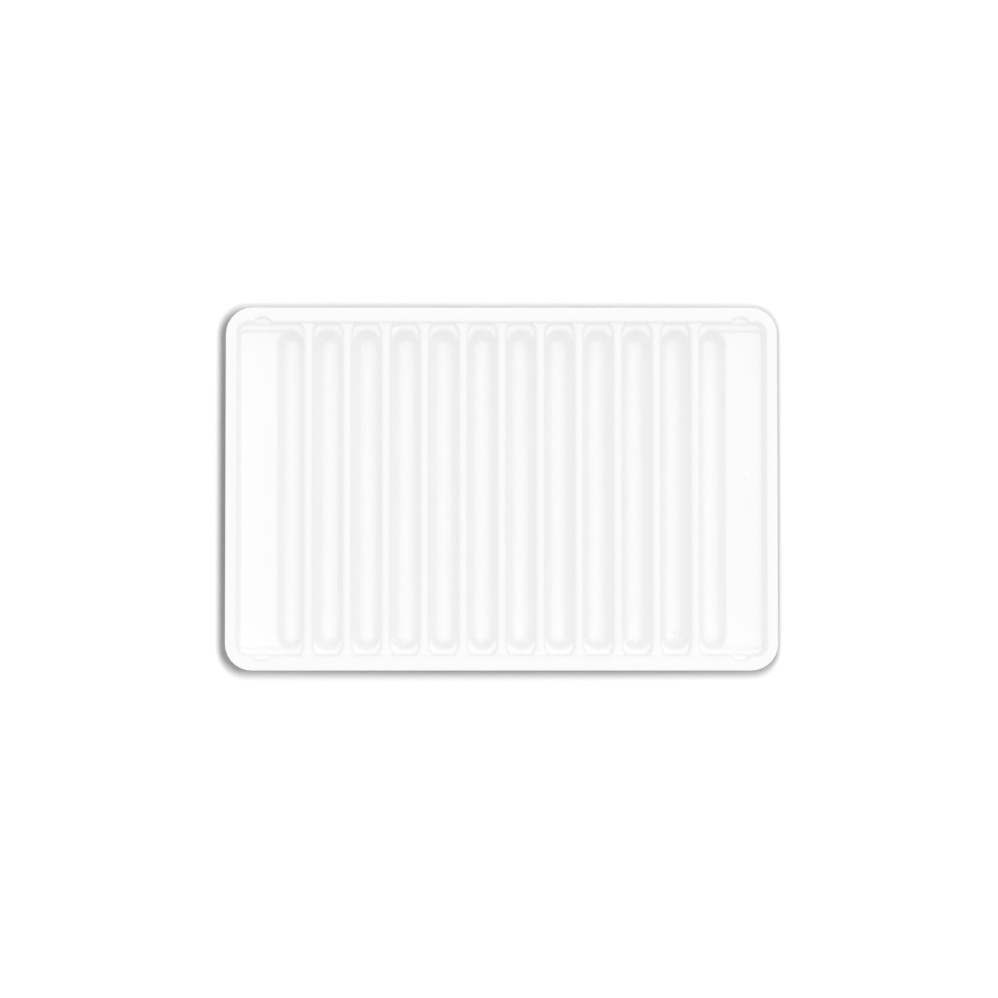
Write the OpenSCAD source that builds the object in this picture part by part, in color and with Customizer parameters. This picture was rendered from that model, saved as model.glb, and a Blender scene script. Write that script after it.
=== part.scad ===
// Reagent reservoir with twelve troughs, vacuum formed from one thin white sheet.
// The troughs stand at the column pitch of a 96-well plate, and the tray rests on their floors.
// Origin: centre of the footprint, on the resting plane. +X along the tray, +Z up, millimetres.

/* [Rim] */
// Length over the rim
rim_length = 128; // [126:0.5:180]
// Width over the rim
rim_width = 84.2; // [60:0.2:120]
// Radius of the rim's corners
rim_corner = 6.2; // [3:0.1:10]
// Flat width of the rim along the two long sides
rim_side = 3.3; // [2.8:0.1:6]
// Flat width of the rim along the two short ends
rim_end = 2.5; // [2:0.1:5]

/* [Sheet] */
// Height from the resting plane to the top of the rim
tray_height = 14.8; // [12:0.1:22]
// Thickness of the formed sheet
sheet = 0.5; // [0.3:0.02:0.6]

/* [Well] */
// Draft of the wall inside the rim, in degrees
well_draft = 5; // [2:0.5:7]
// Corner radius of the well, at the rim
well_corner = 2.4; // [1.8:0.1:5]
// Rounding where the rim turns down into the well
rim_lip = 0.4; // [0.1:0.05:0.6]
// Depth of the narrow ledge round the well, below the rim
ledge_depth = 4.4; // [3:0.1:5.3]
// Width of the ledge at the end of each trough
ledge_width = 1.1; // [0.8:0.1:2]
// Depth of the two end shelves, below the rim
shelf_depth = 6.2; // [5.5:0.1:7]
// How far the foot of the shelf wall stands in from the ends of the troughs
shelf_step = 0.16; // [0.1:0.02:1]
// Corner radius of the shelves
shelf_corner = 1.3; // [1:0.1:3]

/* [Troughs] */
// Number of troughs
trough_count = 12; // [4:1:12]
// Distance between trough centres
trough_pitch = 9; // [7.5:0.1:9]
// Width of the ridge between two troughs, between its sharp edges
ridge_width = 1.76; // [1.6:0.02:2.4]
// Depth of the ridge tops, below the rim
ridge_depth = 1.8; // [1.2:0.1:2.4]
// Rounding along the edges of the ridges
ridge_lip = 0.8; // [0.1:0.05:0.85]
// Draft of the trough walls, in degrees
trough_draft = 9.3; // [2:0.1:10]
// How far the mouth of a trough runs past the end of its lower part
mouth_reach = 2.1; // [1.4:0.1:2.6]
// Width of the flat that each trough floor rests on
foot_width = 1; // [0.6:0.1:1.6]

/* [Stacking lugs] */
// Radius of the four pockets that keep stacked trays from jamming
lug_radius = 2.6; // [1.8:0.1:3]
// How far the pockets stand out from the well wall
lug_reach = 1.2; // [0.8:0.1:1.6]
// Depth of the pockets, below the rim
lug_depth = 2.5; // [2:0.1:3]
// Distance of the pockets from the well's end wall
lug_inset = 6; // [5:0.1:7]

/* [Hidden] */
$fn = 64;

// Overshoot of a cut above the face that it opens
over = 1;

// An arc is this much larger than its blend, so that it crosses the faces that it joins
bite = 0.0002;

// Rounds a derived size to four places, so that faces that are meant to meet do meet
function exact(size) = round(size * 10000) / 10000;

// How far a drafted wall leans over a depth
function lean(depth, draft) = exact(depth * tan(draft));

// Horizontal growth of a drafted wall whose face moves out by skin
function growth(skin, draft) = exact(skin / cos(draft));

// Half length and half width of the well, at the rim
well_x = rim_length / 2 - rim_end;
well_y = rim_width / 2 - rim_side;

// Half width of a trough's sharp mouth, at the ridge tops
mouth_half = (trough_pitch - ridge_width) / 2;

// Half width of a trough at a depth below the rim
function trough_half(depth) = mouth_half - lean(depth - ridge_depth, trough_draft);

// The floor's arc is tangent to both drafted walls
arc_share = cos(trough_draft) - (1 - sin(trough_draft)) * tan(trough_draft);
wall_run = (tray_height - sheet - ridge_depth) * tan(trough_draft);
floor_radius = exact((mouth_half - wall_run) / arc_share);

// The flat underfoot trims the outside of that arc, whose centre is at floor_z
foot_radius = floor_radius + sheet;
floor_z = exact(sqrt(pow(foot_radius, 2) - pow(foot_width / 2, 2)));

// Centres of the round trough ends: the lower part, then the mouth
ledge_y = well_y - lean(ledge_depth, well_draft);
trough_end = ledge_y - ledge_width - trough_half(ledge_depth);
mouth_end = trough_end + mouth_reach;

// The end shelves start inside the outermost troughs, and their walls stay inside the troughs' ends
last_trough = (trough_count - 1) / 2 * trough_pitch;
shelf_start = last_trough + 0.2;
shelf_foot_y = trough_end + trough_half(shelf_depth) - shelf_step;
shelf_y = shelf_foot_y + lean(shelf_depth - ledge_depth, well_draft);

// Level of a depth below the rim
function level(depth) = tray_height - depth;

// Length of a lip's rounding along each of the faces that it joins
function lip_run(lip, draft) = exact(lip * tan(45 - draft / 2));

// Half section of a drafted pocket, its mouth at height 0 and its edge rounded by lip
module pocket_half(reach, depth, draft, lip) {
    run = lip_run(lip, draft);
    difference() {
        polygon([
            [0, -depth],
            [reach - lean(depth, draft), -depth],
            [reach - exact(run * sin(draft)), -exact(run * cos(draft))],
            [reach + run, 0],
            [reach + run, over],
            [0, over]
        ]);
        if (lip > 0)
            translate([reach + run, -lip])
                circle(lip + bite);
    }
}

// Half section of a trough's lower part, from its floor up to a level
module trough_half_section(skin) {
    radius = floor_radius + skin;
    top = level(ledge_depth + skin);
    reach = trough_half(ledge_depth + skin) + growth(skin, trough_draft);
    intersection() {
        translate([0, -over])
            square([trough_pitch, tray_height + over]);
        union() {
            translate([0, floor_z])
                circle(radius + bite);
            polygon([
                [0, floor_z],
                [exact(radius * cos(trough_draft)), floor_z - exact(radius * sin(trough_draft))],
                [reach, top],
                [0, top]
            ]);
        }
    }
}

// A half section carried round a slot along Y with round ends, its end centres at +-end
module slot(end) {
    for (side = [0, 1])
        mirror([side, 0, 0])
            rotate([90, 0, 0])
                linear_extrude(2 * end, center = true)
                    children();
    for (side = [0, 1])
        mirror([0, side, 0])
            translate([0, end, 0])
                rotate_extrude(angle = 180)
                    children();
}

// The well inside the rim, down to a depth
module well(depth, skin, lip) {
    reach = growth(skin, well_draft);
    corner_x = well_x - well_corner;
    corner_y = well_y - well_corner;
    translate([0, 0, tray_height]) {
        for (side = [0, 1])
            mirror([side, 0, 0])
                rotate([90, 0, 0])
                    linear_extrude(2 * corner_y, center = true)
                        pocket_half(well_x + reach, depth + skin, well_draft, lip);
        for (side = [0, 1])
            mirror([0, side, 0])
                rotate([90, 0, 90])
                    linear_extrude(2 * corner_x, center = true)
                        pocket_half(well_y + reach, depth + skin, well_draft, lip);
        for (sx = [0, 1], sy = [0, 1])
            mirror([sx, 0, 0])
                mirror([0, sy, 0])
                    translate([corner_x, corner_y, 0])
                        rotate_extrude(angle = 90)
                            pocket_half(well_corner + reach, depth + skin, well_draft, lip);
    }
}

// The mouth of one trough, from the ledge up past the ridge tops
module mouth(skin, lip) {
    reach = mouth_half + growth(skin, trough_draft);
    translate([0, 0, level(ridge_depth)])
        slot(mouth_end)
            pocket_half(reach, ledge_depth + skin - ridge_depth, trough_draft, lip);
}

// The lower part of one trough, up to the ledge
module trough(skin) {
    slot(trough_end)
        trough_half_section(skin);
}

// One end shelf and the ledge round it, to be clipped by the well
module shelf(skin) {
    wall_y = shelf_y + lean(ledge_depth, well_draft) + growth(skin, well_draft);
    corner_y = shelf_y - shelf_corner;
    corner_x = well_x - shelf_corner;
    depth = shelf_depth + skin;
    translate([shelf_start, -rim_width / 2, level(ledge_depth + skin)])
        cube([rim_length, rim_width, ledge_depth + skin + over]);
    translate([shelf_start, -corner_y, level(depth)])
        cube([rim_length, 2 * corner_y, depth]);
    translate([0, 0, tray_height]) {
        for (side = [0, 1])
            mirror([0, side, 0])
                translate([shelf_start, 0, 0])
                    rotate([90, 0, 90])
                        linear_extrude(corner_x - shelf_start)
                            pocket_half(wall_y, depth, well_draft, 0);
        for (side = [0, 1])
            mirror([0, side, 0])
                translate([corner_x, corner_y, 0])
                    rotate_extrude(angle = 90)
                        pocket_half(wall_y - corner_y, depth, well_draft, 0);
    }
}

// One pocket that bulges out of the well wall below the rim
module lug(skin) {
    radius = lug_radius + growth(skin, well_draft);
    depth = lug_depth + skin;
    translate([well_x - lug_inset, well_y + lug_reach - lug_radius, level(depth)])
        cylinder(
            r1 = radius - lean(depth, well_draft),
            r2 = radius + lean(over, well_draft),
            h = depth + over
        );
}

// Everything below the rim, as the sheet's top face (skin 0) or its underside (skin = sheet)
module formed(skin, lip, mouth_lip) {
    intersection() {
        well(shelf_depth, skin, lip);
        union() {
            translate([-rim_length, -rim_width, level(ridge_depth + skin)])
                cube([2 * rim_length, 2 * rim_width, ridge_depth + skin + 2 * over]);
            for (i = [0 : trough_count - 1])
                translate([i * trough_pitch - last_trough, 0, 0])
                    mouth(skin, mouth_lip);
            for (side = [0, 1])
                mirror([side, 0, 0])
                    shelf(skin);
        }
    }
    for (i = [0 : trough_count - 1])
        translate([i * trough_pitch - last_trough, 0, 0])
            trough(skin);
    for (sx = [0, 1], sy = [0, 1])
        mirror([sx, 0, 0])
            mirror([0, sy, 0])
                lug(skin);
}

// The flat rim, before the well is formed in it
module rim() {
    translate([0, 0, tray_height - sheet])
        linear_extrude(sheet) {
            square([rim_length - 2 * rim_corner, rim_width], center = true);
            square([rim_length, rim_width - 2 * rim_corner], center = true);
            for (sx = [-1, 1], sy = [-1, 1])
                translate([sx * (rim_length / 2 - rim_corner), sy * (rim_width / 2 - rim_corner)])
                    circle(rim_corner);
        }
}

module tray() {
    color("white")
        difference() {
            union() {
                rim();
                formed(sheet, 0, 0);
            }
            formed(0, rim_lip, ridge_lip);
            translate([-rim_length, -rim_width, -tray_height])
                cube([2 * rim_length, 2 * rim_width, tray_height]);
            translate([-rim_length, -rim_width, tray_height])
                cube([2 * rim_length, 2 * rim_width, tray_height]);
        }
}

tray();
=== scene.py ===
"""White formed tray: a reagent reservoir with twelve troughs, on a table that shows white."""
import math

import bmesh
import bpy
from mathutils import Matrix, Vector


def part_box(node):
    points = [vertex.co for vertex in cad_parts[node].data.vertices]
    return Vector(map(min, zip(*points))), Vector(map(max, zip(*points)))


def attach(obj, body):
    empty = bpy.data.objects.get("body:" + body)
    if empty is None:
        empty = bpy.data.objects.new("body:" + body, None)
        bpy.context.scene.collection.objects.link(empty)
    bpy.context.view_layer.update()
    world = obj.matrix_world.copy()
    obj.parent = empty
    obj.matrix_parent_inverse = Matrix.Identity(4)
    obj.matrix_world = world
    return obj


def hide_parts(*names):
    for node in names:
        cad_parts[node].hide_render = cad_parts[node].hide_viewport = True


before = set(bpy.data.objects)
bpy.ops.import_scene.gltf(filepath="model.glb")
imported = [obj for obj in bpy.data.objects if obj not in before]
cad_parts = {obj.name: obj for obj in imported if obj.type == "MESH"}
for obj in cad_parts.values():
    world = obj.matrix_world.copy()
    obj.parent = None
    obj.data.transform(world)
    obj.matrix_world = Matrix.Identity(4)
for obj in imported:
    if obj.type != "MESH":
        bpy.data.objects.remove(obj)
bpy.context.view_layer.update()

# Overall sizes, from the frame. The sheet is shaped in millimetres and brought to metres at the end.
MM = 0.001
RIM_X, RIM_Y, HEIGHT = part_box("tray")[1] / MM

# Rim and sheet
RIM_CORNER = 6.2
RIM_SIDE = 3.3
RIM_END = 2.5
SHEET = 0.5

# Well inside the rim, the ledge round it and the two end shelves, with depths measured from the rim
WELL_X = RIM_X - RIM_END
WELL_Y = RIM_Y - RIM_SIDE
WELL_CORNER = 2.4
WELL_DRAFT = math.radians(5)
WELL_SLOPE = math.tan(WELL_DRAFT)
LEDGE_DEPTH = 4.4
LEDGE_WIDTH = 1.1
SHELF_DEPTH = 6.2
SHELF_STEP = 0.16
SHELF_CORNER = 1.3

# Troughs and the ridges between them
TROUGHS = 12
PITCH = 9
RIDGE_WIDTH = 1.76
RIDGE_DEPTH = 1.8
TROUGH_DRAFT = math.radians(9.3)
TROUGH_SLOPE = math.tan(TROUGH_DRAFT)
MOUTH_REACH = 2.1
FOOT_HALF = 0.5

# Pockets that keep stacked trays from jamming
LUG_RADIUS = 2.6
LUG_REACH = 1.2
LUG_DEPTH = 2.5
LUG_INSET = 6

# Sizes that follow from those. X is measured from the last trough's middle where a name starts with LAST.
CELL = PITCH / 2
MOUTH_HALF = (PITCH - RIDGE_WIDTH) / 2
WALL_RUN = (HEIGHT - SHEET - RIDGE_DEPTH) * TROUGH_SLOPE
ARC_SHARE = math.cos(TROUGH_DRAFT) - (1 - math.sin(TROUGH_DRAFT)) * TROUGH_SLOPE
FLOOR_RADIUS = (MOUTH_HALF - WALL_RUN) / ARC_SHARE
FLOOR_Z = math.sqrt((FLOOR_RADIUS + SHEET) ** 2 - FOOT_HALF ** 2)
LEDGE_Y = WELL_Y - LEDGE_DEPTH * WELL_SLOPE
LEDGE_HALF = MOUTH_HALF - (LEDGE_DEPTH - RIDGE_DEPTH) * TROUGH_SLOPE
TROUGH_END = LEDGE_Y - LEDGE_WIDTH - LEDGE_HALF
MOUTH_END = TROUGH_END + MOUTH_REACH
SHELF_FOOT_Y = TROUGH_END + MOUTH_HALF - (SHELF_DEPTH - RIDGE_DEPTH) * TROUGH_SLOPE - SHELF_STEP
SHELF_Y = SHELF_FOOT_Y + (SHELF_DEPTH - LEDGE_DEPTH) * WELL_SLOPE
LAST_TROUGH = (TROUGHS - 1) / 2 * PITCH
LAST_WELL_X = WELL_X - LAST_TROUGH
LAST_RIM_X = RIM_X - LAST_TROUGH
LAST_LUG_X = LAST_WELL_X - LUG_INSET
LUG_Y = WELL_Y + LUG_REACH - LUG_RADIUS

# Lengths that the rounded corners take from each of the faces that they join
RIM_LIP = 0.38
RIDGE_LIP = 0.68
SHELF_LIP = 0.8
LEDGE_LIP = 0.7
INNER_CORNER = 0.36
CUT_EDGE = 0.05
PINCH_ROOM = INNER_CORNER + RIDGE_LIP

# Points this near each other are one point, and a corner rounded by less than this stays sharp
WELD = 0.0005
LEAST_ROUNDING = 0.00001

# Steps round a quarter of a trough, from the middle of its side to the middle of its end.
# Beyond the side come the stretches of the mouth that face the ridge, its corner, the pinch and the wall.
SIDE = 12
REACH = 3
EDGE = 4
FLARE = 3
PINCH = 4
WALL = 6
END = REACH + EDGE + FLARE + PINCH + WALL
RIDGE_ONLY = SIDE + REACH + EDGE

# Steps along the shelf's wall: the end wall, the well's corner, the lug, and beside the last trough's end
TURN = 6
TURN_STRAIGHT = 2
EAST = SIDE - TURN - 1
BESIDE = 4
BEFORE_LUG = 3
LUG = 11
PAST_LUG = END - BESIDE - BEFORE_LUG - LUG

# Steps round each rounded corner and up half a trough's floor, on the sheet's top and on its underside
TOP_CORNER_STEPS = 4
TOP_FLOOR_STEPS = 12
UNDER_CORNER_STEPS = 2
UNDER_FLOOR_STEPS = 8

# Mould mark in the last trough but one: a ring of round wire, half sunk in the trough's floor
MARK_X = 4.5 * PITCH
MARK_Y = -34.45
MARK_RADIUS = 1.1
MARK_WIRE = 0.2
MARK_STEPS = 72
MARK_WIRE_STEPS = 12

# White plastic: how much light its pigment sends back, its gloss, and the height of its forming waves
ALBEDO = 0.985
PIGMENT_RANGE = 0.02
ROUGH = 0.5
SPEC = 0.3
WAVE = 0.01

# Patterns in it, as patches wide in X and Z, long in Y, and a level of detail
MOTTLE = (7, 16, 3)
GRAIN = (0.22, 0.3, 2)
FLOW = (2.2, 26, 2)
FLOW_SHARE = 0.75

# How much of the pigment's range each takes away: depth below the rim, mottle, grain and cutting
DEPTH_GREYER = 0.1
MOTTLE_GREYER = 0.5
GRAIN_GREYER = 0.3
CUT_GREYER = 0.6

# How much rougher each of them leaves the surface
DEPTH_ROUGHER = -0.05
MOTTLE_ROUGHER = 0.08
GRAIN_ROUGHER = 0.06
CUT_ROUGHER = 0.2

# The cut edge is this close to the rim's outside
CUT_ROOM = 0.08

# Speck of dirt on one shelf
SPECK = (56.85, 2.7, 8.6)
SPECK_RADIUS = 0.16
SPECK_COLOUR = (0.78, 0.78, 0.77, 1)

# Camera: its place and its aim from the middle of the rim's top, its lens, and its near limit in metres
CAMERA_PLACE = (-2.9, -23.4, 635)
CAMERA_TARGET = (-0.6, -2.4, 0)
CAMERA_LENS = 98.9
CAMERA_SENSOR = 36
CAMERA_NEAREST = 0.01

# Suns: strength, width, tilt from the vertical and heading from -Y, with angles in degrees
SUN = 0.115
SUN_ANGLE = 15
SUN_TILT = 6
SUN_HEAD = 110
SOFT = 0.045
SOFT_ANGLE = 60
SOFT_TILT = 50
SOFT_HEAD = 150

# Light from all round, the rays that see a white backdrop, and how many times light may bounce
SKY = 0.825
BACKDROP_RAYS = ("Is Camera Ray", "Is Glossy Ray", "Is Transmission Ray")
BOUNCES = 24

# Table: its size, its finish, and how brightly it glows at FAR from the middle
TABLE_HALF = 2000
TABLE_GREY = 0.3
TABLE_GREY_SPREAD = 0.002
TABLE_MOTTLE = (30, 30, 3)
FAR = 160
FAR_GLOW = 0.32

# Lamp over the table
TABLE_LAMP = 2.5
LAMP_HALF_X = 24
LAMP_HALF_Y = 40
LAMP_HEIGHT = 405
LAMP_X = 16
LAMP_Y = 0

# Sockets of a Mix node that mixes colours
MIX_SHARE = 0
MIX_FIRST = 6
MIX_SECOND = 7
MIX_COLOUR = 2


def steps(first, last, count):
    """Evenly spaced values from first to last, both included."""
    return [first + (last - first) * i / count for i in range(count + 1)]


def line(start, end, count):
    """Evenly spaced points from start to end."""
    return list(zip(steps(start[0], end[0], count), steps(start[1], end[1], count)))


def arc(centre, radius, first, last, count):
    """Evenly spaced points on an arc between two angles from +X."""
    return [
        (centre[0] + radius * math.cos(angle), centre[1] + radius * math.sin(angle))
        for angle in steps(first, last, count)
    ]


def joined(*runs):
    """Runs of points that meet end to end, as one run."""
    points = list(runs[0])
    for run in runs[1:]:
        points += run[1:]
    return points


def bent(start, corner, end, count):
    """A circular arc that leaves start and reaches end along the lines to corner."""
    turn = (corner - start).angle(end - corner)
    weight = math.cos(turn / 2)
    points = []
    for t in steps(0, 1, count):
        parts = ((1 - t) ** 2, 2 * t * (1 - t) * weight, t ** 2)
        points.append((start * parts[0] + corner * parts[1] + end * parts[2]) / sum(parts))
    return points


def rounded(corners, count):
    """A section through corners of (point, run), each rounded from its run before it to its run after it.

    A run of 0 leaves the corner as one point. Two rounded corners share the length between them.
    """
    points = []
    for i, (corner, run) in enumerate(corners):
        if run == 0:
            points.append(corner)
            continue
        reach = run
        for other, other_run in (corners[i - 1], corners[i + 1]):
            room = (other - corner).length
            reach = min(reach, room / 2 if other_run else room)
        if reach < LEAST_ROUNDING:
            points += [corner] * (count + 1)
            continue
        start = corner + (corners[i - 1][0] - corner).normalized() * reach
        end = corner + (corners[i + 1][0] - corner).normalized() * reach
        points += bent(start, corner, end, count)
    return points


class Face:
    """One face of the sheet round a quarter of a trough: its top (skin 0) or its underside (skin SHEET).

    An outline is a list of points, one for each section, from the middle of the trough's side to the
    middle of its end. X and Y are measured from the trough's middle.
    """

    def __init__(self, skin, corner_steps, floor_steps):
        self.skin = skin
        self.corner_steps = corner_steps
        self.floor_steps = floor_steps

    def level(self, depth):
        return HEIGHT - depth - self.skin

    def trough_half(self, depth):
        """Half width of a trough where its wall crosses a flat of that depth."""
        lean = (depth + self.skin - RIDGE_DEPTH) * TROUGH_SLOPE
        return MOUTH_HALF - lean + self.skin * math.hypot(1, TROUGH_SLOPE)

    def lean(self, depth):
        """How far the well's walls have come in where they cross a flat of that depth."""
        return (depth + self.skin) * WELL_SLOPE - self.skin * math.hypot(1, WELL_SLOPE)

    def well_y(self, depth):
        return WELL_Y - self.lean(depth)

    def shelf_y(self, depth):
        return SHELF_Y + LEDGE_DEPTH * WELL_SLOPE - self.lean(depth)

    def lower(self, half):
        """The trough's lower part, with its floor below it."""
        return joined(
            line((half, 0), (half, TROUGH_END), SIDE),
            arc((0, TROUGH_END), half, 0, math.pi / 2, END),
        )

    def bends(self, depth):
        """Half width of the mouth, and the angles where its ridge is pinched and where it meets the wall."""
        half = self.trough_half(depth)
        wall = self.well_y(depth) - MOUTH_END
        return half, math.asin((wall - PINCH_ROOM) / half), math.asin(wall / half)

    def mouth(self, depth):
        """The trough's mouth, cut off by the well's wall."""
        half, pinch, meet = self.bends(depth)
        wall = self.well_y(depth)
        return joined(
            line((half, 0), (half, TROUGH_END), SIDE),
            line((half, TROUGH_END), (half, MOUTH_END), REACH),
            arc((0, MOUTH_END), half, 0, pinch, EDGE + FLARE),
            arc((0, MOUTH_END), half, pinch, meet, PINCH),
            line((half * math.cos(meet), wall), (0, wall), WALL),
        )

    def ridge_end(self):
        """Where the ridge's flat top ends: at the ridge's middle, or short of the well's wall."""
        half, pinch, meet = self.bends(RIDGE_DEPTH)
        wall = self.well_y(RIDGE_DEPTH)
        corner = (CELL, wall - INNER_CORNER)
        share = INNER_CORNER / PINCH_ROOM
        return joined(
            line((CELL, 0), (CELL, TROUGH_END), SIDE),
            line((CELL, TROUGH_END), (CELL, MOUTH_END), REACH),
            line((CELL, MOUTH_END), corner, EDGE),
            line(corner, (half * math.cos(pinch), corner[1]), FLARE),
            [(x, wall - share * (wall - y)) for x, y in arc((0, MOUTH_END), half, pinch, meet, PINCH)],
            line((half * math.cos(meet), wall), (0, wall), WALL),
        )

    def floor(self, outline):
        """Rows of the trough's round floor, up to its straight walls, as (outline, z, run)."""
        radius = FLOOR_RADIUS + self.skin
        first = math.pi / 2
        rows = []
        if self.skin:
            first = math.asin(FLOOR_Z / radius)
            rows.append((outline(0), 0, 0))
        for angle in steps(first, -TROUGH_DRAFT, self.floor_steps):
            rows.append((outline(radius * math.cos(angle)), FLOOR_Z - radius * math.sin(angle), 0))
        return rows

    def sections(self, rows):
        """Turns rows of (outline, z, run) into one rounded section for each step."""
        made = []
        for points in zip(*(outline for outline, z, run in rows)):
            corners = [(Vector((*point, z)), run) for point, (outline, z, run) in zip(points, rows)]
            made.append(rounded(corners, self.corner_steps))
        return made

    def ridge_quarter(self):
        """Sections from the floor to the ridge's middle, and those from the ridge's end up to the rim."""
        ridge_z = self.level(RIDGE_DEPTH)
        rows = self.floor(self.lower) + [
            (self.lower(self.trough_half(SHELF_DEPTH)), self.level(SHELF_DEPTH), 0),
            (self.lower(self.trough_half(LEDGE_DEPTH)), self.level(LEDGE_DEPTH), LEDGE_LIP),
            (self.mouth(LEDGE_DEPTH), self.level(LEDGE_DEPTH), INNER_CORNER),
            (self.mouth(LUG_DEPTH), self.level(LUG_DEPTH), 0),
            (self.mouth(RIDGE_DEPTH), ridge_z, RIDGE_LIP),
            (self.ridge_end(), ridge_z, 0),
        ]
        start = self.ridge_end()[RIDGE_ONLY:]
        across = [x for x, y in start]
        wall = self.well_y(RIDGE_DEPTH)
        cuts = steps(CELL, 0, FLARE + PINCH + WALL)
        wall_rows = [
            (start, ridge_z, 0),
            ([(x, wall) for x in across], ridge_z, INNER_CORNER),
            ([(x, self.well_y(0)) for x in across], self.level(0), RIM_LIP),
            ([(x, RIM_Y) for x in cuts], self.level(0), CUT_EDGE),
            ([(x, RIM_Y) for x in cuts], HEIGHT - SHEET / 2, 0),
        ]
        return [self.sections(rows), self.sections(wall_rows)]

    def shelf_bend(self, depth):
        """Half width of the last trough, and the angle on its end where the shelf's wall runs into it."""
        half = self.trough_half(depth)
        return half, math.asin((self.shelf_y(depth) - TROUGH_END) / half)

    def last_lower(self, half):
        """The last trough's lower part, with a section where the shelf's wall runs into its end."""
        bend = self.shelf_bend(SHELF_DEPTH)[1]
        return joined(
            line((half, 0), (half, TROUGH_END), SIDE),
            arc((0, TROUGH_END), half, 0, bend, END - BESIDE),
            arc((0, TROUGH_END), half, bend, math.pi / 2, BESIDE),
        )

    def lug(self, depth, y=None):
        """Points across the lug, on its round wall or, below its opening, on a line along the well."""
        radius = LUG_RADIUS - self.lean(depth)
        half = math.sqrt(radius ** 2 - (self.well_y(depth) - LUG_Y) ** 2)
        offsets = [half * math.cos(angle) for angle in steps(0, math.pi, LUG)]
        return [(LAST_LUG_X + x, y or LUG_Y + math.sqrt(radius ** 2 - x ** 2)) for x in offsets]

    def well_corner(self, depth):
        """Centre and radius of the well's corner, and the angle where the shelf's corner runs into it."""
        centre = (LAST_WELL_X - WELL_CORNER, WELL_Y - WELL_CORNER)
        radius = WELL_CORNER - self.lean(depth)
        shelf_radius = self.shelf_y(depth) - SHELF_Y + SHELF_CORNER
        rise = math.sqrt(shelf_radius ** 2 - (SHELF_CORNER - self.lean(depth)) ** 2)
        return centre, radius, math.asin((SHELF_Y - SHELF_CORNER + rise - centre[1]) / radius)

    def end_wall(self, depth):
        """The well's end wall, as far round its corner as where the shelf's corner runs into it."""
        centre, radius, tip = self.well_corner(depth)
        east = centre[0] + radius
        return joined(line((east, 0), (east, centre[1]), EAST), arc(centre, radius, 0, tip, 1))

    def shelf_wall(self, depth):
        """The wall round the shelf, then the last trough's end beside it."""
        end_wall = self.end_wall(depth)
        centre = (LAST_WELL_X - SHELF_CORNER, SHELF_Y - SHELF_CORNER)
        y = self.shelf_y(depth)
        first = math.atan2(end_wall[-1][1] - centre[1], end_wall[-1][0] - centre[0])
        lug = self.lug(LUG_DEPTH, y)
        half, bend = self.shelf_bend(depth)
        return joined(
            end_wall,
            arc(centre, y - centre[1], first, math.pi / 2, TURN - TURN_STRAIGHT),
            line((centre[0], y), (LAST_WELL_X - WELL_CORNER, y), TURN_STRAIGHT),
            line((LAST_WELL_X - WELL_CORNER, y), lug[0], PAST_LUG),
            lug,
            line(lug[-1], (half * math.cos(bend), y), BEFORE_LUG),
            arc((0, TROUGH_END), half, bend, math.pi / 2, BESIDE),
        )

    def well_wall(self, depth, lug):
        """The well's own wall, past the lug to the middle of the last trough's end."""
        centre, radius, tip = self.well_corner(depth)
        y = self.well_y(depth)
        half, bend = self.shelf_bend(LEDGE_DEPTH)
        beside = (half * math.cos(bend), y)
        return joined(
            self.end_wall(depth),
            arc(centre, radius, tip, math.pi / 2, TURN),
            line((centre[0], y), lug[0], PAST_LUG),
            lug,
            line(lug[-1], beside, BEFORE_LUG),
            line(beside, (0, y), BESIDE),
        )

    def shelf_quarter(self):
        """Sections from the last trough's floor, across the shelf, up to the rim."""
        ledge_lug = self.lug(LUG_DEPTH, self.well_y(LEDGE_DEPTH))
        lug_edge = self.lug(LUG_DEPTH, self.well_y(LUG_DEPTH))
        corner = (LAST_RIM_X - RIM_CORNER, RIM_Y - RIM_CORNER)
        rim = joined(
            line((LAST_RIM_X, 0), (LAST_RIM_X, corner[1]), EAST),
            arc(corner, RIM_CORNER, 0, math.pi / 2, TURN + 1),
            line((corner[0], RIM_Y), (0, RIM_Y), END),
        )
        lug_z = self.level(LUG_DEPTH)
        rows = self.floor(self.last_lower) + [
            (self.last_lower(self.trough_half(SHELF_DEPTH)), self.level(SHELF_DEPTH), SHELF_LIP),
            (self.shelf_wall(SHELF_DEPTH), self.level(SHELF_DEPTH), INNER_CORNER),
            (self.shelf_wall(LEDGE_DEPTH), self.level(LEDGE_DEPTH), LEDGE_LIP),
            (self.well_wall(LEDGE_DEPTH, ledge_lug), self.level(LEDGE_DEPTH), INNER_CORNER),
            (self.well_wall(LUG_DEPTH, lug_edge), lug_z, RIM_LIP),
            (self.well_wall(LUG_DEPTH, self.lug(LUG_DEPTH)), lug_z, INNER_CORNER),
            (self.well_wall(RIDGE_DEPTH, self.lug(RIDGE_DEPTH)), self.level(RIDGE_DEPTH), 0),
            (self.well_wall(0, self.lug(0)), self.level(0), RIM_LIP),
            (rim, self.level(0), CUT_EDGE),
            (rim, HEIGHT - SHEET / 2, 0),
        ]
        return [self.sections(rows)]


def lay(shape, sections, middle_x, side):
    """Lays a grid on the sections of one quarter of a trough's cell. Side -1 mirrors it in X.

    The grid is made from -1 to 1 both ways, which tells each of its vertices its row and section.
    """
    rows = len(sections[0]) - 1
    laid = bmesh.ops.create_grid(shape, x_segments=rows, y_segments=len(sections) - 1, size=1)
    for vertex in laid["verts"]:
        row = round((vertex.co.x + 1) / 2 * rows)
        section = round((vertex.co.y + 1) / 2 * (len(sections) - 1))
        point = sections[section][row]
        vertex.co = (middle_x + side * point.x, point.y, point.z)


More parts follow.
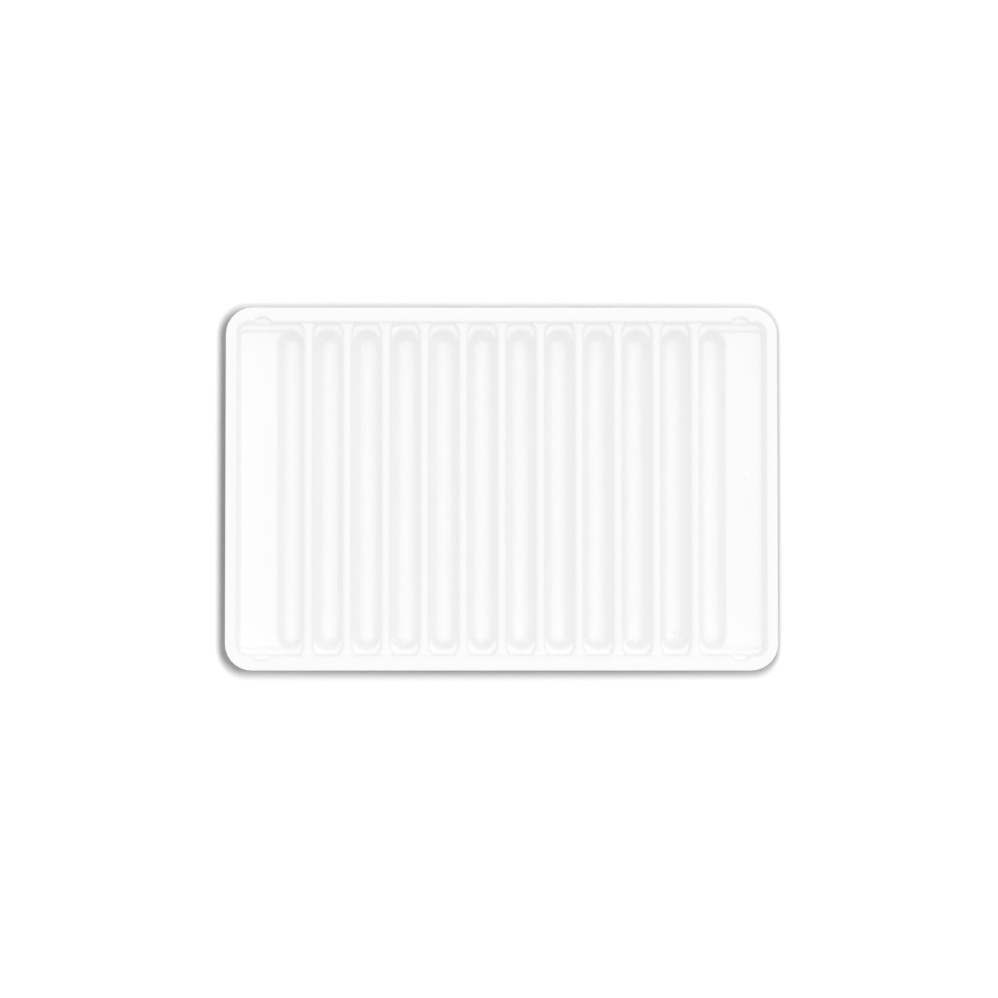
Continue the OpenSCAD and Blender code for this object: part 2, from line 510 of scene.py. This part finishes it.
def tray_sheet():
    """The whole formed sheet: a quarter of each face, mirrored and closed along the rim's cut edge."""
    shape = bmesh.new()
    top = Face(0, TOP_CORNER_STEPS, TOP_FLOOR_STEPS)
    underside = Face(SHEET, UNDER_CORNER_STEPS, UNDER_FLOOR_STEPS)
    for face in (top, underside):
        ridge_quarter = face.ridge_quarter()
        shelf_quarter = face.shelf_quarter()
        for i in range(TROUGHS // 2):
            middle_x = (i + 0.5) * PITCH
            last = i == TROUGHS // 2 - 1
            for sections in ridge_quarter:
                lay(shape, sections, middle_x, -1)
            for sections in shelf_quarter if last else ridge_quarter:
                lay(shape, sections, middle_x, 1)
    for axis in "XY":
        laid = shape.verts[:] + shape.edges[:] + shape.faces[:]
        bmesh.ops.mirror(shape, geom=laid, axis=axis, merge_dist=WELD)
    bmesh.ops.remove_doubles(shape, verts=shape.verts[:], dist=WELD)
    bmesh.ops.dissolve_degenerate(shape, edges=shape.edges[:], dist=WELD)
    bmesh.ops.recalc_face_normals(shape, faces=shape.faces[:])
    bmesh.ops.scale(shape, vec=(MM, MM, MM), verts=shape.verts[:])
    return shape


def piece(name, shape, material):
    """Turns a finished shape into a smooth-shaded piece that moves with the tray's body."""
    for face in shape.faces:
        face.smooth = True
    mesh = bpy.data.meshes.new(name)
    shape.to_mesh(mesh)
    shape.free()
    mesh.materials.append(material)
    made = bpy.data.objects.new(name, mesh)
    bpy.context.scene.collection.objects.link(made)
    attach(made, "root")
    return made


# Camera, light and table

def look(place, target, up):
    """A turn that looks from place to target, with up towards the top of the view."""
    ahead = (target - place).normalized()
    right = ahead.cross(up).normalized()
    return Matrix((right, right.cross(ahead), -ahead)).transposed().to_4x4()


def make_camera():
    """A long lens almost straight above the tray."""
    middle = Vector((0, 0, HEIGHT))
    place = (middle + Vector(CAMERA_PLACE)) * MM
    target = (middle + Vector(CAMERA_TARGET)) * MM
    data = bpy.data.cameras.new("camera")
    data.lens = CAMERA_LENS
    data.sensor_width = CAMERA_SENSOR
    data.clip_start = CAMERA_NEAREST
    camera = bpy.data.objects.new("camera", data)
    camera.matrix_world = Matrix.Translation(place) @ look(place, target, Vector((0, 1, 0)))
    bpy.context.scene.collection.objects.link(camera)
    bpy.context.scene.camera = camera


def make_sun(name, strength, angle, tilt, heading):
    """A sun whose light comes from tilt degrees off the vertical, on the side of heading from -Y."""
    data = bpy.data.lights.new(name, "SUN")
    data.energy = strength * math.pi
    data.angle = math.radians(angle)
    sun = bpy.data.objects.new(name, data)
    sun.rotation_euler = (math.radians(tilt), 0, math.radians(heading))
    bpy.context.scene.collection.objects.link(sun)


def make_table_lamp(table):
    """A lamp over the tray that lights the table alone, so the tray's shadow has a short soft edge."""
    data = bpy.data.lights.new("table_lamp", "AREA")
    data.shape = "ELLIPSE"
    data.size = 2 * LAMP_HALF_X * MM
    data.size_y = 2 * LAMP_HALF_Y * MM
    height = LAMP_HEIGHT * MM
    data.energy = TABLE_LAMP * math.pi ** 2 * height ** 2
    lamp = bpy.data.objects.new("table_lamp", data)
    lamp.location = (LAMP_X * MM, LAMP_Y * MM, height)
    bpy.context.scene.collection.objects.link(lamp)
    lit = bpy.data.collections.new("lit_by_table_lamp")
    lit.objects.link(table)
    lamp.light_linking.receiver_collection = lit


class Value:
    """A number that changes over a surface. Python's operators on it add Math nodes."""

    def __init__(self, finish, output):
        self.finish = finish
        self.output = output

    def maths(self, operation, first, second):
        return self.finish.node("Math", {"operation": operation}, {0: first, 1: second})

    def __add__(self, other):
        return self.maths("ADD", self, other)

    def __radd__(self, other):
        return self.maths("ADD", other, self)

    def __sub__(self, other):
        return self.maths("SUBTRACT", self, other)

    def __rsub__(self, other):
        return self.maths("SUBTRACT", other, self)

    def __mul__(self, other):
        return self.maths("MULTIPLY", self, other)

    def __rmul__(self, other):
        return self.maths("MULTIPLY", other, self)

    def __lt__(self, other):
        return self.maths("LESS_THAN", self, other)

    def __gt__(self, other):
        return self.maths("GREATER_THAN", self, other)

    def __abs__(self):
        return self.maths("ABSOLUTE", self, 0)


class Finish:
    """The shader of a material or of the world, and the nodes that feed it."""

    def __init__(self, owner, shader):
        owner.use_nodes = True
        self.tree = owner.node_tree
        self.shader = self.tree.nodes[shader]

    def node(self, kind, settings, sockets, output=0):
        """Add a node from its type, its settings, and then the values or links of its sockets."""
        added = self.tree.nodes.new("ShaderNode" + kind)
        for setting, value in settings.items():
            setattr(added, setting, value)
        self.fill(added, sockets)
        return Value(self, added.outputs[output])

    def fill(self, added, sockets):
        """Give a node's sockets their values or links."""
        for socket, value in sockets.items():
            if isinstance(value, Value):
                self.tree.links.new(value.output, added.inputs[socket])
            else:
                added.inputs[socket].default_value = value

    def place(self):
        """The point on the object, in metres."""
        return self.node("TexCoord", {}, {}, "Object")

    def measure(self, axis):
        """How far the surface is along an axis, in millimetres."""
        return self.node("SeparateXYZ", {}, {"Vector": self.place()}, axis) * (1 / MM)

    def grain(self, across, along, detail):
        """A random pattern from 0 to 1, whose patches are across wide in X and Z and along long in Y."""
        scale = (1 / (across * MM), 1 / (along * MM), 1 / (across * MM))
        spread = self.node("Mapping", {}, {"Vector": self.place(), "Scale": scale})
        return self.node("TexNoise", {}, {"Vector": spread, "Scale": 1, "Detail": detail})

    def larger(self, first, second):
        """The larger of two numbers."""
        return self.node("Math", {"operation": "MAXIMUM"}, {0: first, 1: second})

    def mixed(self, share, first, second):
        """A colour from first to second, by share."""
        sockets = {MIX_SHARE: share, MIX_FIRST: first, MIX_SECOND: second}
        return self.node("Mix", {"data_type": "RGBA"}, sockets, MIX_COLOUR)

    def grey(self, share, dark, light):
        """A grey from dark to light, by share."""
        return self.mixed(share, (dark, dark, dark, 1), (light, light, light, 1))

    def near(self, spot, reach):
        """1 within reach of a spot and 0 elsewhere, with both in millimetres."""
        centre = tuple(part * MM for part in spot)
        away = self.node("VectorMath", {"operation": "DISTANCE"}, {0: self.place(), 1: centre}, "Value")
        return away < reach * MM

    def seen(self, kinds):
        """1 for rays of the named kinds and 0 for the rest."""
        seen = self.node("LightPath", {}, {}, kinds[0])
        for kind in kinds[1:]:
            seen = self.larger(seen, self.node("LightPath", {}, {}, kind))
        return seen

    def raised(self, height, reach):
        """A bumped normal, where a height of 1 stands reach proud, in millimetres."""
        return self.node("Bump", {}, {"Height": height, "Distance": reach * MM, "Strength": 1})


def make_plastic():
    """White sheet: satin, a little duller on its cut edge, and a little greyer and smoother the lower it
    lies, most on the troughs' floors.
    """
    material = bpy.data.materials.new("white_sheet")
    finish = Finish(material, "Principled BSDF")
    # 0 at the rim's top and 1 at the table: the sheet turns greyer and smoother the lower it lies, darkest
    # on the troughs' floors
    depth_share = (HEIGHT - finish.measure("Z")) * (1 / HEIGHT)
    mottle = finish.grain(*MOTTLE) - 0.5
    grain = finish.grain(*GRAIN) - 0.5
    flow = finish.grain(*FLOW) - 0.5
    past_end = abs(finish.measure("X")) > RIM_X - CUT_ROOM
    past_side = abs(finish.measure("Y")) > RIM_Y - CUT_ROOM
    cut = finish.larger(past_end, past_side)
    greyer = depth_share * DEPTH_GREYER + mottle * MOTTLE_GREYER + grain * GRAIN_GREYER + cut * CUT_GREYER
    rougher = depth_share * DEPTH_ROUGHER + mottle * MOTTLE_ROUGHER + grain * GRAIN_ROUGHER + cut * CUT_ROUGHER
    white = finish.grey(1 - greyer, ALBEDO - PIGMENT_RANGE, ALBEDO)
    speck = finish.near(SPECK, SPECK_RADIUS)
    finish.fill(finish.shader, {
        "Base Color": finish.mixed(speck, white, SPECK_COLOUR),
        "Roughness": ROUGH + rougher,
        "Normal": finish.raised(flow * FLOW_SHARE + grain * (1 - FLOW_SHARE), WAVE),
        "Specular IOR Level": SPEC,
    })
    return material


def make_table_finish():
    """A smooth matt table, which stays white to the camera where the table lamp falls off."""
    material = bpy.data.materials.new("table")
    finish = Finish(material, "Principled BSDF")
    mottle = finish.grain(*TABLE_MOTTLE)
    place = finish.place()
    away = finish.node("VectorMath", {"operation": "DOT_PRODUCT"}, {0: place, 1: place}, "Value")
    glow = away * finish.seen(BACKDROP_RAYS) * (FAR_GLOW / (FAR * MM) ** 2)
    finish.fill(finish.shader, {
        "Base Color": finish.grey(mottle, TABLE_GREY - TABLE_GREY_SPREAD, TABLE_GREY + TABLE_GREY_SPREAD),
        "Roughness": 1,
        "Specular IOR Level": 0,
        "Emission Color": finish.grey(glow, 0, 1),
        "Emission Strength": 1,
    })
    return material


def make_world():
    """Even light from all round, behind which the backdrop shows white."""
    world = bpy.data.worlds.new("world")
    finish = Finish(world, "Background")
    finish.fill(finish.shader, {
        "Color": (1, 1, 1, 1),
        "Strength": SKY + finish.seen(BACKDROP_RAYS) * (1 - SKY),
    })
    bpy.context.scene.world = world


def make_floor():
    """The table, which isn't part of the object."""
    shape = bmesh.new()
    bmesh.ops.create_grid(shape, x_segments=1, y_segments=1, size=TABLE_HALF * MM)
    mesh = bpy.data.meshes.new("floor")
    shape.to_mesh(mesh)
    shape.free()
    floor = bpy.data.objects.new("floor", mesh)
    bpy.context.scene.collection.objects.link(floor)
    mesh.materials.append(make_table_finish())
    return floor


def floor_height(x, y):
    """Height of a trough's round floor, x off its middle line, and at y along it."""
    past_end = max(0, abs(y) - TROUGH_END)
    return FLOOR_Z - math.sqrt(FLOOR_RADIUS ** 2 - x ** 2 - past_end ** 2)


def mould_mark():
    """A raised ring that follows the floor of one trough."""
    shape = bmesh.new()
    bmesh.ops.create_circle(shape, segments=MARK_WIRE_STEPS, radius=MARK_WIRE)
    bmesh.ops.rotate(shape, verts=shape.verts, matrix=Matrix.Rotation(math.pi / 2, 3, "X"))
    bmesh.ops.translate(shape, verts=shape.verts, vec=(MARK_RADIUS, 0, 0))
    bmesh.ops.spin(shape, geom=shape.verts[:] + shape.edges[:], axis=(0, 0, 1), angle=2 * math.pi,
                   steps=MARK_STEPS, use_merge=True)
    bmesh.ops.remove_doubles(shape, verts=shape.verts, dist=WELD)
    for vert in shape.verts:
        vert.co.z += floor_height(vert.co.x, MARK_Y + vert.co.y)
    bmesh.ops.translate(shape, verts=shape.verts, vec=(MARK_X, MARK_Y, 0))
    bmesh.ops.scale(shape, verts=shape.verts, vec=(MM, MM, MM))
    bmesh.ops.recalc_face_normals(shape, faces=shape.faces)
    return shape


bpy.context.scene.view_settings.view_transform = "Standard"
bpy.context.scene.cycles.diffuse_bounces = BOUNCES
bpy.context.scene.cycles.max_bounces = BOUNCES
make_camera()
make_sun("key", SUN, SUN_ANGLE, SUN_TILT, SUN_HEAD)
make_sun("soft", SOFT, SOFT_ANGLE, SOFT_TILT, SOFT_HEAD)
make_world()
floor = make_floor()
make_table_lamp(floor)
plastic = make_plastic()
sheet = piece("tray_sheet", tray_sheet(), plastic)
sheet.modifiers.new("even", "WEIGHTED_NORMAL")
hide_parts("tray")
mark = piece("mould_mark", mould_mark(), plastic)
